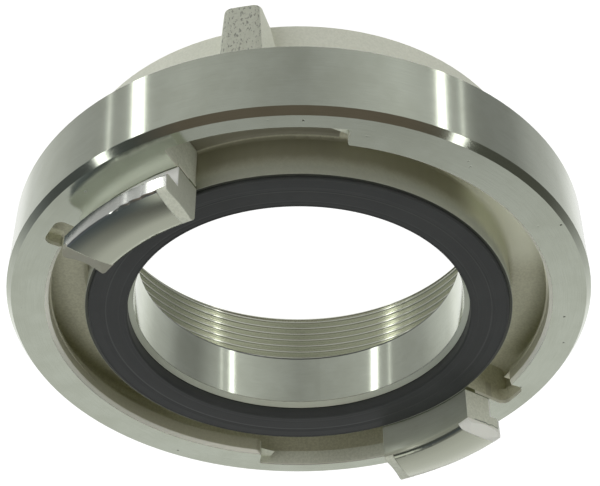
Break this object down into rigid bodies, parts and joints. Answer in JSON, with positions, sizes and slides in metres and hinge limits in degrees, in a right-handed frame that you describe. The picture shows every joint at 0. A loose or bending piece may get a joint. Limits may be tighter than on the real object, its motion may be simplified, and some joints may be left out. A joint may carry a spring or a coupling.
{
  "type": "quarter turn fire hose coupling",
  "caption": "Symmetric claw coupling half for a large fire hose line, with hooked claws, a rubber sealing ring and a female pipe thread.",
  "frame": {"origin": "centre of the flat back face, on the thread's axis", "axes": "+Z along the axis, out of the claw side; the two gates between the claws lie on +X and -X"},
  "size_m": [0.156, 0.156, 0.0561],
  "materials": {
    "turned_casting": "cast and tumbled outside, turned on the rim, face, bore and thread",
    "seal_rubber": "smooth moulded black rubber"
  },
  "bodies": {
    "root": {"coupling_body": "turned_casting", "sealing_ring": "seal_rubber"}
  },
  "joints": []
}
